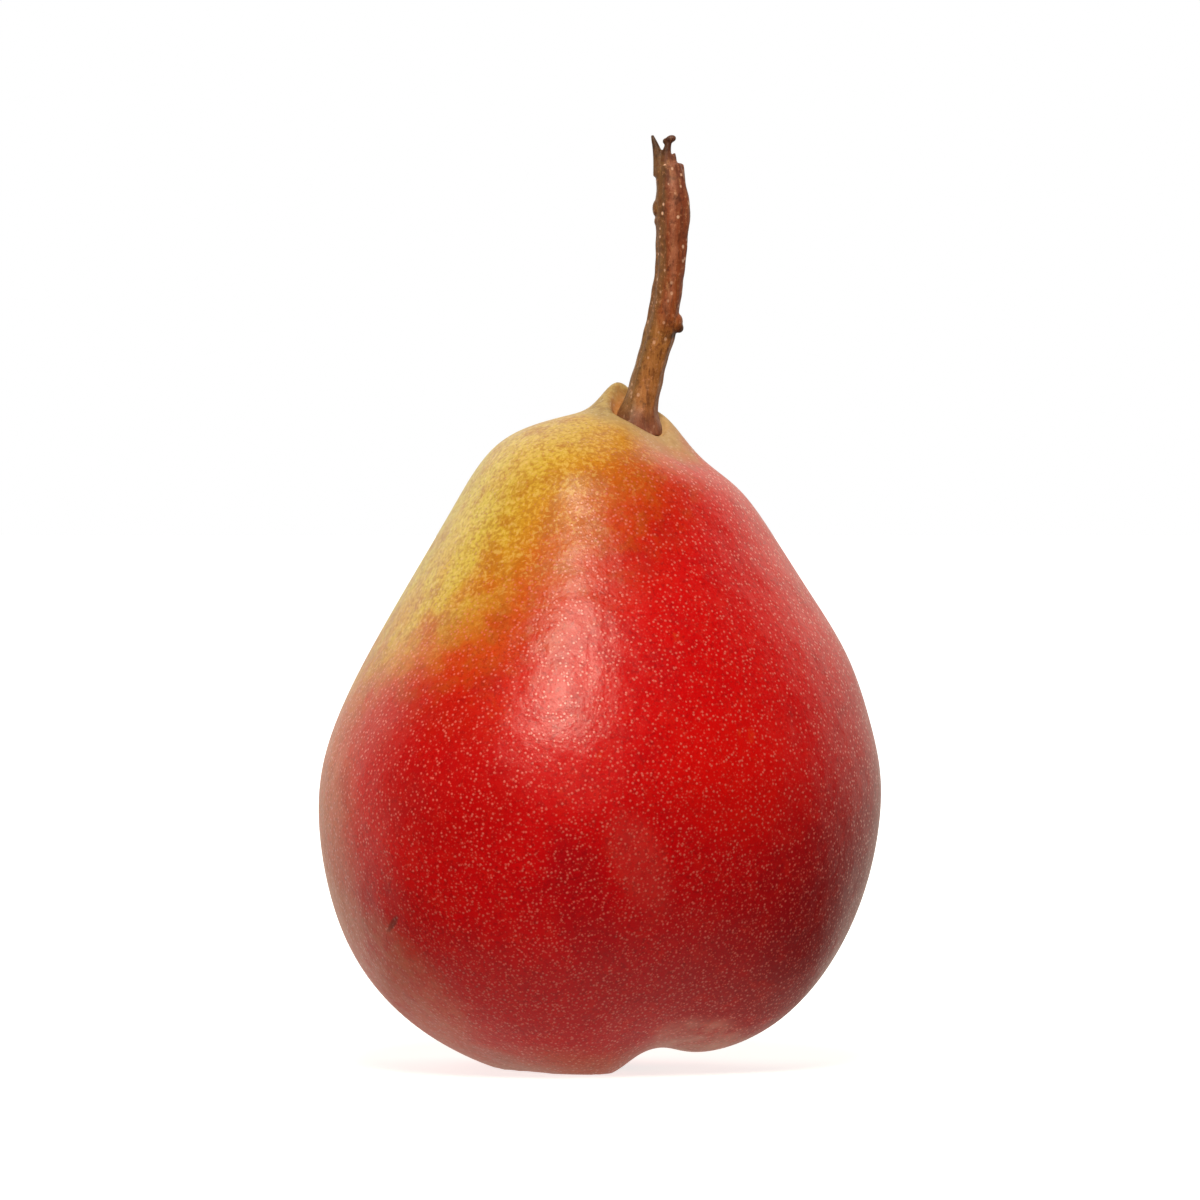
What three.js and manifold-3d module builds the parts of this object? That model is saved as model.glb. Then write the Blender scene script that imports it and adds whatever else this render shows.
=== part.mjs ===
// A ripe pear standing on its base: the fruit, its woody stem, and the dried calyx in the basin underneath.
// Millimetres, +Z up, the front faces -Y. The fruit touches the ground at z = 0 on three small flat spots.

import * as THREE from "three";
import { mergeVertices } from "three/addons/utils/BufferGeometryUtils.js";
import Module from "manifold-3d";

const wasm = await Module();
wasm.setup();

// ---------------------------------------------------------------- driving sizes

// The skin is a stack of rings, from the floor of the stem hollow down to the floor of the calyx basin.
// Each row: x and z where the ring meets the left outline, x and z at the right outline, half its depth
// from front to back, and how far its middle lies behind the stem plane.
const RINGS = [
  [4.9, 79.0, 4.9, 79.0, 0.0, 0.3],
  [1.9, 79.6, 7.8, 78.5, 3.0, 0.3],
  [0.3, 81.9, 9.0, 78.9, 4.3, 0.2],
  [-6.3, 81.0, 12.6, 76.1, 9.3, 0.4],
  [-13.2, 77.6, 17.2, 72.5, 15.2, 0.8],
  [-18.2, 70.4, 21.2, 67.3, 19.8, 1.0],
  [-23.0, 62.2, 26.2, 59.5, 24.6, 0.9],
  [-28.3, 53.0, 30.9, 51.6, 29.3, 0.7],
  [-32.6, 44.3, 33.8, 43.2, 32.8, 0.3],
  [-35.1, 34.6, 35.2, 34.3, 34.6, 0.0],
  [-34.0, 22.8, 33.8, 22.8, 33.1, 0.0],
  [-29.6, 12.2, 29.7, 12.4, 28.6, 0.0],
  [-20.6, 3.6, 23.2, 5.2, 20.8, 0.0],
  [-8.3, -0.9, 14.6, 2.7, 11.4, 0.0],
  [-2.0, 2.4, 8.9, 4.2, 5.7, 0.0],
  [0.4, 5.2, 6.0, 6.1, 2.9, 0.0],
  [3.3, 6.2, 3.3, 6.2, 0.0, 0.0],
];
const RINGS_PER_ROW = 3; // skin rings between one row and the next
const AROUND = 80; // skin points on one ring
const EGG = 0.18; // how much blunter the rings are on the left than on the right

// Five soft lobes round the base, with grooves between them that run up the lower flank.
const LOBES = 5;
const GROOVE_DEPTH = 1.8;
const LEFT_GROOVES = 0.25; // how deep the grooves on the left are, as a share of those on the right
const LEFT_FADE = [-0.8, 0.2]; // cosines of the angle between which the grooves come to their full depth
const GROOVE_STARTS = 8.6;
const GROOVE_DEEPEST = 12.7;
const GROOVE_ENDS = 15.5;
const BODY_MIDDLE = new THREE.Vector3(1, 0, 34);

// Two of the lobes are low enough to be feet beside the left one.
const FOOT_ANGLES = [-108, 106];
const FOOT_RING = 13;
const FOOT_DROP = 0.84;
const FOOT_SPREAD = 0.37; // radians
const FOOT_RING_SPREAD = 0.8; // rings

// The flesh round the stem: a raised lip behind it on the left, a ridge down the right shoulder,
// and a low place at the front right. Each is x, y, height, half width along x and along y.
const SHOULDER_BUMPS = [
  [2.5, 3.6, 4.3, 2.1, 3.0],
  [7.8, 3.4, 2.3, 2.6, 2.6],
  [8.2, -4.0, -1.0, 2.4, 2.4],
];
const SHOULDER_FADES = 3.5; // the bumps fade from this ring
const SHOULDER_ENDS = 5.5; // to this one

// Gentle unevenness of the flank: waves round it, which turn a little from ring to ring.
const WAVE_HEIGHT = 0.2;
const WAVE_RING = 7.5;
const WAVE_SPREAD = 2.6; // rings
const WAVES = 3;
const WAVE_TWIST = 0.35; // radians from one ring to the next

// Stem: each row is the middle of the stem and its radius there, from the socket to the torn end.
const STEM = [
  [4.6, 0.3, 80.0, 2.5],
  [4.8, 0.2, 81.6, 2.45],
  [5.2, 0.1, 83.4, 2.1],
  [5.9, 0.0, 86.2, 1.95],
  [6.7, -0.2, 89.2, 1.9],
  [7.5, -0.5, 92.0, 1.98],
  [8.1, -0.8, 95.2, 1.9],
  [8.7, -1.1, 99.0, 1.85],
  [9.0, -1.3, 103.0, 1.95],
  [9.1, -1.4, 107.2, 2.15],
  [8.9, -1.4, 110.2, 1.9],
  [8.5, -1.4, 112.8, 1.6],
];
const STEM_RINGS = 46;
const STEM_AROUND = 24;
const SOCKET_PLACE = 4; // the socket in the flesh is cut this far up the table above
const SOCKET_RINGS = 14;
const SHAFT_FOOT = 0.3; // how far the middle of the shaft's lower end stands proud of its first ring
const SHAFT_TIP = 0.2; // and the same at its upper end
const GAP = 0.35; // between the stem and its socket, and between the tuft and the fruit
const BUD = { x: 9.4, y: -0.8, z: 93.2, across: 1.15, high: 1.5 };
const SCAR = { x: 6.95, y: -1.2, z: 107.3, across: 0.5, high: 1.1 };
const SPLINTER = { foot: [7.5, -1.3, 112.2], tip: [6.5, -1.2, 116.5], foot_radius: 0.85, tip_radius: 0.22 };
const TIP_STALK = { foot: [8.3, -1.5, 112.4], tip: [8.6, -1.6, 115.8], foot_radius: 0.9, tip_radius: 0.36 };
const TIP_KNOB = { x: 8.75, y: -1.6, z: 116.0, across: 0.66, high: 0.6 };

// Calyx: five dried sepals round a tuft of withered stamens, on the tilted floor of the basin.
const CALYX_CENTRE = new THREE.Vector3(3.3, 0, 6.2);
const CALYX_TILT = 8.3; // degrees, the calyx looks down and a little to the right
const SEPALS = 5;
const SEPAL_START = 1.6; // distance from the calyx axis
const SEPAL_LENGTH = 4.6;
const SEPAL_WIDTH = 2.3;
const SEPAL_THICK = 0.5;
const SEPAL_TURNS = [3, -5, 2, 6, -3]; // degrees off an even spacing
const SEPAL_STEPS = 12;
const SEPAL_FOOT_WIDTH = 0.34; // share of the full width at the foot
const SEPAL_TIP_WIDTH = 0.08; // and at the tip
const SEPAL_REACH = 0.84; // share of its length that it covers on the way out
const SEPAL_LIFT = 0.75; // height of its foot over the floor of the basin
const SEPAL_CLIMB = 1.6; // how much it climbs evenly along its length
const SEPAL_CURL = 1.4; // and how much more towards the tip
const SEPAL_CUP = 0.35; // how far its edges are turned up, as a share of half its width
// Its section: places across in half widths, with heights in half thicknesses.
const SEPAL_SECTION = [
  [-1, 0.1],
  [-0.6, 0.75],
  [0, 1],
  [0.6, 0.75],
  [1, 0.1],
  [0.6, -0.3],
  [0, -0.4],
  [-0.6, -0.3],
];
const TUFT_RADIUS = 1.15;
const TUFT_HEIGHT = 2.4;
// Its outline: shares of the radius, with shares of the height.
const TUFT_OUTLINE = [
  [0, 0],
  [0.8, 0],
  [1, 0.17],
  [0.85, 0.5],
  [0.95, 1],
  [0.5, 0.8],
  [0, 0.9],
];

// ---------------------------------------------------------------- curves

// A smooth curve through evenly numbered values, with no bend at its two ends.
function smoothThrough(values) {
  const last = values.length - 1;
  const bends = new Array(values.length).fill(0);
  const ratios = new Array(values.length).fill(0);
  for (let i = 1; i < last; i++) {
    const weight = 4 - ratios[i - 1];
    ratios[i] = 1 / weight;
    bends[i] = (6 * (values[i + 1] - 2 * values[i] + values[i - 1]) - bends[i - 1]) / weight;
  }
  for (let i = last - 1; i > 0; i--) bends[i] -= ratios[i] * bends[i + 1];
  return (place) => {
    const i = Math.min(Math.max(Math.floor(place), 0), last - 1);
    const b = place - i;
    const a = 1 - b;
    const arch = ((a * a * a - a) * bends[i] + (b * b * b - b) * bends[i + 1]) / 6;
    return a * values[i] + b * values[i + 1] + arch;
  };
}

// One smooth curve for each column of a table of rows.
function smoothColumns(rows) {
  return rows[0].map((_, column) => smoothThrough(rows.map((row) => row[column])));
}

const bell = (distance, width) => Math.exp(-0.5 * (distance / width) ** 2);

// ---------------------------------------------------------------- solids

// A closed body from rings of points, all with the same count, and a point at each end.
// The rings run anticlockwise when seen from the first end.
function closedBody(firstPoint, rings, lastPoint) {
  const around = rings[0].length;
  const points = [firstPoint, ...rings.flat(), lastPoint];
  const at = (ring, i) => 1 + ring * around + (i % around);
  const faces = [];
  for (let i = 0; i < around; i++) {
    faces.push(0, at(0, i), at(0, i + 1));
    for (let r = 0; r < rings.length - 1; r++) {
      faces.push(at(r, i), at(r + 1, i), at(r + 1, i + 1));
      faces.push(at(r, i), at(r + 1, i + 1), at(r, i + 1));
    }
    faces.push(at(rings.length - 1, i), points.length - 1, at(rings.length - 1, i + 1));
  }
  const geometry = new THREE.BufferGeometry().setFromPoints(points);
  geometry.setIndex(faces);
  geometry.computeVertexNormals();
  return geometry;
}

function middleOf(ring) {
  const sum = new THREE.Vector3();
  ring.forEach((point) => sum.add(point));
  return sum.divideScalar(ring.length);
}

function toSolid(geometry) {
  const bare = new THREE.BufferGeometry();
  bare.setAttribute("position", geometry.getAttribute("position"));
  bare.setIndex(geometry.getIndex());
  const merged = mergeVertices(bare, 1e-4);
  return new wasm.Manifold(
    new wasm.Mesh({
      numProp: 3,
      vertProperties: new Float32Array(merged.getAttribute("position").array),
      triVerts: new Uint32Array(merged.getIndex().array),
    }),
  );
}

function toGeometry(solid) {
  const mesh = solid.getMesh();
  const geometry = new THREE.BufferGeometry();
  geometry.setAttribute("position", new THREE.BufferAttribute(mesh.vertProperties, 3));
  geometry.setIndex(new THREE.BufferAttribute(mesh.triVerts, 1));
  geometry.computeVertexNormals();
  return geometry;
}

function rounded({ x, y, z, across, high }) {
  const ball = new THREE.SphereGeometry(1, 14, 10);
  ball.scale(across, across, high);
  ball.translate(x, y, z);
  return toSolid(ball);
}

function tapered({ foot, tip, foot_radius, tip_radius }) {
  const from = new THREE.Vector3(...foot);
  const to = new THREE.Vector3(...tip);
  const along = to.clone().sub(from);
  const cone = new THREE.CylinderGeometry(tip_radius, foot_radius, along.length(), 12);
  const turn = new THREE.Quaternion().setFromUnitVectors(new THREE.Vector3(0, 1, 0), along.normalize());
  cone.applyQuaternion(turn);
  cone.translate(...from.add(to).multiplyScalar(0.5).toArray());
  return toSolid(cone);
}

// ---------------------------------------------------------------- fruit

const ringColumns = smoothColumns(RINGS);

// How deep the groove between two lobes is, at a place down the rings and an angle round them.
function grooveAt(place, angle) {
  const reach =
    THREE.MathUtils.smoothstep(place, GROOVE_STARTS, GROOVE_DEEPEST) *
    (1 - THREE.MathUtils.smoothstep(place, GROOVE_DEEPEST, GROOVE_ENDS));
  const between = 0.5 + 0.5 * Math.cos(LOBES * angle);
  const side = LEFT_GROOVES + (1 - LEFT_GROOVES) * THREE.MathUtils.smoothstep(Math.cos(angle), ...LEFT_FADE);
  return GROOVE_DEPTH * reach * between * side;
}

function footAt(place, angle) {
  const near = FOOT_ANGLES.map((foot) => {
    const away = angle - THREE.MathUtils.degToRad(foot);
    return bell(THREE.MathUtils.euclideanModulo(away + Math.PI, 2 * Math.PI) - Math.PI, FOOT_SPREAD);
  });
  return FOOT_DROP * Math.max(...near) * bell(place - FOOT_RING, FOOT_RING_SPREAD);
}

function shoulderAt(place, x, y) {
  if (place >= SHOULDER_ENDS) return 0;
  const fade = 1 - THREE.MathUtils.smoothstep(place, SHOULDER_FADES, SHOULDER_ENDS);
  let height = 0;
  for (const [bumpX, bumpY, rise, wideX, wideY] of SHOULDER_BUMPS) {
    height += rise * bell(x - bumpX, wideX) * bell(y - bumpY, wideY);
  }
  return fade * height;
}

// A point on the skin. The angle is 0 at the right outline and grows towards the back.
function skinPoint(place, angle) {
  const [leftX, leftZ, rightX, rightZ, depth, behind] = ringColumns.map((column) => column(place));
  const across = Math.cos(angle);
  const point = new THREE.Vector3(
    (leftX + rightX) / 2 + (across * (rightX - leftX)) / 2,
    behind + depth * Math.sin(angle) * (1 - EGG * across),
    (leftZ + rightZ) / 2 + (across * (rightZ - leftZ)) / 2,
  );
  const flank = bell(place - WAVE_RING, WAVE_SPREAD);
  const wave = WAVE_HEIGHT * flank * Math.sin(WAVES * angle + WAVE_TWIST * place) * Math.sin(angle);
  const inward = BODY_MIDDLE.clone().sub(point).normalize();
  point.addScaledVector(inward, grooveAt(place, angle) - wave);
  point.z += shoulderAt(place, point.x, point.y) - footAt(place, angle);
  point.z = Math.max(point.z, 0);
  return point;
}

function makeFruit() {
  const last = RINGS.length - 1;
  const steps = last * RINGS_PER_ROW;
  const rings = [];
  for (let step = 1; step < steps; step++) {
    const ring = [];
    for (let i = 0; i < AROUND; i++) {
      ring.push(skinPoint(step / RINGS_PER_ROW, (2 * Math.PI * i) / AROUND));
    }
    rings.push(ring);
  }
  const whole = toSolid(closedBody(skinPoint(0, 0), rings, skinPoint(last, 0)));
  return toGeometry(whole.subtract(shaft(GAP, SOCKET_PLACE, SOCKET_RINGS)));
}

// ---------------------------------------------------------------- stem

// The shaft of the stem between two places of its table. With some growth it is the socket for it.
function shaft(growth, lastPlace, sections) {
  const columns = smoothColumns(STEM);
  const at = (place) => columns.map((column) => column(place));
  const rings = [];
  for (let step = 0; step < sections; step++) {
    const place = (lastPlace * step) / (sections - 1);
    const [x, y, z, radius] = at(place);
    const [aheadX, aheadY, aheadZ] = at(place + 0.01);
    const along = new THREE.Vector3(aheadX - x, aheadY - y, aheadZ - z).normalize();
    const side = new THREE.Vector3(1, 0, 0).addScaledVector(along, -along.x).normalize();
    const back = along.clone().cross(side);
    const ring = [];
    for (let i = 0; i < STEM_AROUND; i++) {
      const angle = (-2 * Math.PI * i) / STEM_AROUND;
      ring.push(
        new THREE.Vector3(x, y, z)
          .addScaledVector(side, (radius + growth) * Math.cos(angle))
          .addScaledVector(back, (radius + growth) * Math.sin(angle)),
      );
    }
    rings.push(ring);
  }
  const [footX, footY, footZ] = at(0);
  const [endX, endY, endZ] = at(lastPlace);
  const foot = new THREE.Vector3(footX, footY, footZ - SHAFT_FOOT - growth);
  const end = new THREE.Vector3(endX, endY, endZ + SHAFT_TIP);
  return toSolid(closedBody(foot, rings, end));
}

function makeStem() {
  const extras = [rounded(BUD), rounded(SCAR), tapered(SPLINTER), tapered(TIP_STALK), rounded(TIP_KNOB)];
  const whole = extras.reduce((sofar, extra) => sofar.add(extra), shaft(0, STEM.length - 1, STEM_RINGS));
  return toGeometry(whole);
}

// ---------------------------------------------------------------- calyx

// Moves a shape from the calyx's own frame, whose +Z points out of the basin, to its place.
function placeInBasin(geometry) {
  const tilt = THREE.MathUtils.degToRad(180 - CALYX_TILT);
  geometry.rotateY(tilt);
  geometry.translate(...CALYX_CENTRE.toArray());
  return geometry;
}

// One sepal: a thin pointed blade that leaves the tuft, and curls back towards the wall of the basin.
function makeSepal(number) {
  const turn = THREE.MathUtils.degToRad((360 / SEPALS) * number + SEPAL_TURNS[number]);
  const rings = [];
  for (let step = 0; step <= SEPAL_STEPS; step++) {
    const share = step / SEPAL_STEPS;
    const swell = Math.sin(Math.PI * Math.min(share * 0.9 + 0.22, 1)); // widest a third of the way out
    const width = SEPAL_WIDTH * (SEPAL_FOOT_WIDTH + (1 - SEPAL_FOOT_WIDTH) * swell);
    const half = (width / 2) * Math.max(1 - share ** 4, SEPAL_TIP_WIDTH);
    const out = SEPAL_START + SEPAL_LENGTH * SEPAL_REACH * share;
    const lift = SEPAL_LIFT + SEPAL_CLIMB * share + SEPAL_CURL * share ** 2;
    const ring = SEPAL_SECTION.map(([side, skin]) => {
      const cup = SEPAL_CUP * half * side * side;
      return new THREE.Vector3(out, side * half, lift + cup + (SEPAL_THICK / 2) * skin);
    });
    rings.push(ring);
  }
  const blade = closedBody(middleOf(rings[0]), rings, middleOf(rings[SEPAL_STEPS]));
  blade.rotateZ(turn);
  return placeInBasin(blade);
}

// The withered stamens and styles, as one ragged crown on a small disc.
function makeTuft() {
  const outline = TUFT_OUTLINE.map(([out, up]) => {
    return new THREE.Vector2(TUFT_RADIUS * out, GAP + TUFT_HEIGHT * up);
  });
  const crown = new THREE.LatheGeometry(outline, 20);
  crown.rotateX(Math.PI / 2);
  return placeInBasin(crown);
}

// ---------------------------------------------------------------- the pear

const skin = new THREE.MeshStandardMaterial({ name: "skin", color: 0xb81a12, roughness: 0.38, metalness: 0 });
const bark = new THREE.MeshStandardMaterial({ name: "bark", color: 0x6b4226, roughness: 0.75, metalness: 0 });
const husk = new THREE.MeshStandardMaterial({ name: "husk", color: 0x3a2416, roughness: 0.9, metalness: 0 });

function named(name, geometry, material) {
  const mesh = new THREE.Mesh(geometry, material);
  mesh.name = name;
  return mesh;
}

const pear = new THREE.Group();
pear.name = "pear";
pear.add(named("fruit", makeFruit(), skin));
pear.add(named("stem", makeStem(), bark));

const calyx = new THREE.Group();
calyx.name = "calyx";
for (let number = 0; number < SEPALS; number++) {
  calyx.add(named(`sepal_${number + 1}`, makeSepal(number), husk));
}
calyx.add(named("stamen_tuft", makeTuft(), husk));
pear.add(calyx);

export default pear;
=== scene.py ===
"""A ripe red pear standing on its base: its skin, its torn woody stem and the dried calyx underneath."""

import math

import bmesh
import bpy
import numpy as np
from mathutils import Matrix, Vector


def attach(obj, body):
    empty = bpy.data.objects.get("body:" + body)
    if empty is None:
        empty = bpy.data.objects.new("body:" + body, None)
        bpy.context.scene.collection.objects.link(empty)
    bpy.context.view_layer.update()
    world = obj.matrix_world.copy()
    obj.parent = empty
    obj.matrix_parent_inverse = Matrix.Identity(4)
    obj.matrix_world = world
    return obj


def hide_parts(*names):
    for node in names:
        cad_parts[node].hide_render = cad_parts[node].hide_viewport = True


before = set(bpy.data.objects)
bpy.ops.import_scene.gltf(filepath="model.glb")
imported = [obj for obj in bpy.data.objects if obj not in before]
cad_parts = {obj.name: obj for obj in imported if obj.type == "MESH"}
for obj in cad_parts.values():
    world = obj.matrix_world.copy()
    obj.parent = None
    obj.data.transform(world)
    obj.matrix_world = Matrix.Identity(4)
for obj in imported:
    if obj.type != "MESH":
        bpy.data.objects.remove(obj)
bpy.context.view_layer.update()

MM = 0.001  # sizes below are in millimetres, meshes are in metres

# ---------------------------------------------------------------- sizes of the fruit

# The skin is a stack of rings, from the floor of the stem hollow down to the floor of the calyx basin.
# Each row: x and z at the left outline, x and z at the right outline, half the depth from front to back,
# and how far its middle lies behind the stem plane.
RINGS = [
    (4.9, 79.0, 4.9, 79.0, 0.0, 0.3),
    (1.9, 79.6, 7.8, 78.5, 3.0, 0.3),
    (0.3, 81.9, 9.0, 78.9, 4.3, 0.2),
    (-6.3, 81.0, 12.6, 76.1, 9.3, 0.4),
    (-13.2, 77.6, 17.2, 72.5, 15.2, 0.8),
    (-18.2, 70.4, 21.2, 67.3, 19.8, 1.0),
    (-23.0, 62.2, 26.2, 59.5, 24.6, 0.9),
    (-28.3, 53.0, 30.9, 51.6, 29.3, 0.7),
    (-32.6, 44.3, 33.8, 43.2, 32.8, 0.3),
    (-35.1, 34.6, 35.2, 34.3, 34.6, 0.0),
    (-34.0, 22.8, 33.8, 22.8, 33.1, 0.0),
    (-29.6, 12.2, 29.7, 12.4, 28.6, 0.0),
    (-20.6, 3.6, 23.2, 5.2, 20.8, 0.0),
    (-8.3, -0.9, 14.6, 2.7, 11.4, 0.0),
    (-2.0, 2.4, 8.9, 4.2, 5.7, 0.0),
    (0.4, 5.2, 6.0, 6.1, 2.9, 0.0),
    (3.3, 6.2, 3.3, 6.2, 0.0, 0.0),
]
SKIN_RINGS = 224  # rings of points down the skin
SKIN_AROUND = 320  # points on each
EGG = 0.18  # how much blunter the rings are on the left than on the right

# Five soft lobes round the base, with grooves between them that run up the lower flank.
LOBES = 5
GROOVE_DEPTH = 1.8
LEFT_GROOVES = 0.25  # how deep the grooves on the left are, as a share of those on the right
LEFT_FADE = (-0.8, 0.2)  # cosines of the angle between which the grooves come to their full depth
GROOVE_STARTS = 8.6  # rows of the table above
GROOVE_DEEPEST = 12.7
GROOVE_ENDS = 15.5
BODY_MIDDLE = (1, 0, 34)  # the grooves go in towards this point

# Two of the lobes are low enough to be feet beside the left one.
FOOT_ANGLES = (-108, 106)
FOOT_RING = 13
FOOT_DROP = 0.84
FOOT_SPREAD = 0.37  # radians
FOOT_RING_SPREAD = 0.8  # rows

# The flesh round the stem, each row: x, y, height, half width along x and along y.
SHOULDER_BUMPS = [
    (2.5, 3.6, 4.3, 2.1, 3.0),
    (7.8, 3.4, 2.3, 2.6, 2.6),
    (8.2, -4.0, -1.0, 2.4, 2.4),
]
SHOULDER_FADES = 3.5  # the bumps fade from this row
SHOULDER_ENDS = 5.5  # to this one

# Gentle unevenness of the flank: waves round it, which turn a little from row to row.
WAVE_HEIGHT = 0.2
WAVE_RING = 7.5
WAVE_SPREAD = 2.6  # rows
WAVES = 3
WAVE_TWIST = 0.35  # radians from one row to the next

# ---------------------------------------------------------------- sizes of the stem

# Each row is the middle of the stem and its radius there, from the socket to the torn end.
STEM = [
    (4.5, 0.3, 79.4, 3.0),
    (4.8, 0.2, 81.6, 2.5),
    (5.2, 0.1, 83.4, 2.1),
    (5.9, 0.0, 86.2, 1.95),
    (6.7, -0.2, 89.2, 1.9),
    (7.5, -0.5, 92.0, 1.98),
    (8.1, -0.8, 95.2, 1.9),
    (8.7, -1.1, 99.0, 1.85),
    (9.0, -1.3, 103.0, 1.95),
    (9.1, -1.4, 107.2, 2.15),
    (8.9, -1.4, 110.2, 1.9),
    (8.5, -1.4, 112.8, 1.6),
]
STEM_RINGS = 150
STEM_AROUND = 40
STEM_GRAIN = 0.14  # how closely the parts of the stem are fused and re-meshed
STEM_FOOT = 80.4  # height of the flare at its foot
TUBE_ENDS = (0.2, 0.1)  # how far the points at its foot and its tip stand out
SPLINTER_POINTS = 14  # points along a splinter, and round it
LUMP_RINGS = 14
LUMP_AROUND = 18

# Lumps on the bark: the centre, the half sizes, and how far the top leans to the right.
STEM_LUMPS = {
    "bud": ((9.2, -0.9, 93.1), (1.15, 1.15, 1.3), 0.2),
    "bud_scale": ((9.75, -0.9, 92.6), (0.7, 0.75, 0.75), -0.1),
    "scar": ((6.95, -1.5, 107.4), (0.42, 0.8, 1.0), 0.0),
    "scar_low": ((7.1, -1.2, 105.8), (0.35, 0.7, 0.6), 0.0),
    "swelling": ((10.6, -1.3, 106.6), (0.7, 1.1, 2.2), 0.0),
}
# Splinters of the torn end, and the stalk of its knob: three points, and the radius at each.
STEM_SPLINTERS = {
    "splinter_left": ([(7.6, -1.3, 111.5), (7.2, -1.3, 114.2), (6.5, -1.2, 116.5)], (1.0, 0.62, 0.2)),
    "stalk": ([(8.3, -1.5, 112.0), (8.3, -1.6, 114.2), (8.65, -1.6, 115.8)], (1.1, 0.62, 0.33)),
    "splinter_mid": ([(9.0, -1.4, 111.5), (9.15, -1.3, 113.4), (9.3, -1.3, 114.3)], (0.8, 0.45, 0.14)),
    "splinter_right": ([(9.9, -1.4, 109.5), (10.1, -1.4, 111.8), (10.25, -1.3, 112.9)], (0.9, 0.5, 0.22)),
    "splinter_back": ([(8.9, -0.4, 110.5), (9.0, -0.2, 112.6), (9.2, 0.1, 113.6)], (0.8, 0.5, 0.2)),
}
STEM_KNOBS = {
    "knob": ((8.85, -1.6, 116.05), (0.66, 0.55, 0.5), 0.12),
    "knob_side": ((8.2, -1.55, 115.75), (0.4, 0.36, 0.42), 0.0),
}

# ---------------------------------------------------------------- sizes of the calyx

CALYX_CENTRE = (3.3, 0, 6.2)
CALYX_TILT = 8.3  # degrees, the calyx looks down and a little to the right
SEPALS = 5
SEPAL_START = 1.6  # distance from the calyx axis
SEPAL_LENGTH = 4.6
SEPAL_WIDTH = 2.3
SEPAL_THICK = 0.32
SEPAL_TURNS = (3, -5, 2, 6, -3)  # degrees off an even spacing
SEPAL_STEPS = 36
SEPAL_AROUND = 28
SEPAL_FOOT_WIDTH = 0.34  # share of the full width at the foot
SEPAL_TIP_WIDTH = 0.05  # and at the tip
SEPAL_REACH = 0.84  # share of its length that it covers on the way out
SEPAL_LIFT = 0.75  # height of its foot over the floor of the basin
SEPAL_CLIMB = 1.6  # how much it climbs evenly along its length
SEPAL_CURL = 1.4  # and how much more towards the tip
SEPAL_CUP = 0.35  # how far its edges are turned up, as a share of half its width
TUFT_RADIUS = 1.15
TUFT_LIFT = 0.35  # over the floor of the basin
DISC_HEIGHT = 0.45  # half the height of the disc that the stamens stand on
DISC_MIDDLE = 0.5  # height of its middle
STAMENS = 22
STAMEN_SPREAD = 0.8  # share of the disc that they stand on
STAMEN_LENGTH = 2.4
STAMEN_RADIUS = 0.11
STAMEN_BOW = 0.5  # how far a filament bows sideways
STAMEN_LEAN = 0.42  # the most that one leans, in radians
STAMEN_SIZES = (0.6, 1.05)
ANTHER_SWELL = 2.3  # radius of an anther, in radii of its filament

# ---------------------------------------------------------------- curves


def smooth_through(values, places):
    """A smooth curve through evenly numbered values, with no bend at its two ends, read at some places."""
    values = np.asarray(values, float)
    last = len(values) - 1
    bends = np.zeros(last + 1)
    ratios = np.zeros(last + 1)
    for i in range(1, last):
        weight = 4 - ratios[i - 1]
        ratios[i] = 1 / weight
        bends[i] = (6 * (values[i + 1] - 2 * values[i] + values[i - 1]) - bends[i - 1]) / weight
    for i in range(last - 1, 0, -1):
        bends[i] -= ratios[i] * bends[i + 1]
    i = np.clip(np.floor(places).astype(int), 0, last - 1)
    b = places - i
    a = 1 - b
    arch = ((a**3 - a) * bends[i] + (b**3 - b) * bends[i + 1]) / 6
    return a * values[i] + b * values[i + 1] + arch


def smooth_columns(rows, places):
    """Such a curve through each column of a table of rows."""
    return [smooth_through(column, places) for column in zip(*rows)]


def bell(distance, width):
    """A soft hump, 1 at no distance and close to 0 three widths away."""
    return np.exp(-0.5 * (distance / width) ** 2)


def smoothstep(value, low, high):
    """0 below low and 1 above high, with a smooth rise between."""
    share = np.clip((value - low) / (high - low), 0, 1)
    return share * share * (3 - 2 * share)


# ---------------------------------------------------------------- nodes


class Value:
    """One output of a node. Arithmetic on it adds Math nodes."""

    def __init__(self, nodes, socket):
        self.nodes = nodes
        self.socket = socket

    def maths(self, operation, first, second):
        return self.nodes.add("ShaderNodeMath", {"operation": operation}, {0: first, 1: second})

    def __add__(self, other):
        return self.maths("ADD", self, other)

    def __radd__(self, other):
        return self.maths("ADD", other, self)

    def __sub__(self, other):
        return self.maths("SUBTRACT", self, other)

    def __rsub__(self, other):
        return self.maths("SUBTRACT", other, self)

    def __mul__(self, other):
        return self.maths("MULTIPLY", self, other)

    def __rmul__(self, other):
        return self.maths("MULTIPLY", other, self)

    def __truediv__(self, other):
        return self.maths("DIVIDE", self, other)

    def __rtruediv__(self, other):
        return self.maths("DIVIDE", other, self)

    def __pow__(self, other):
        return self.maths("POWER", self, other)

    def at_least(self, other):
        return self.maths("MAXIMUM", self, other)

    def step(self, low, high):
        """0 below low and 1 above high, with a smooth rise between. Low may be above high."""
        start, end = (0.0, 1.0) if low <= high else (1.0, 0.0)
        sockets = {0: self, 1: min(low, high), 2: max(low, high), 3: start, 4: end}
        return self.nodes.add("ShaderNodeMapRange", {"interpolation_type": "SMOOTHSTEP"}, sockets)


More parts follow.
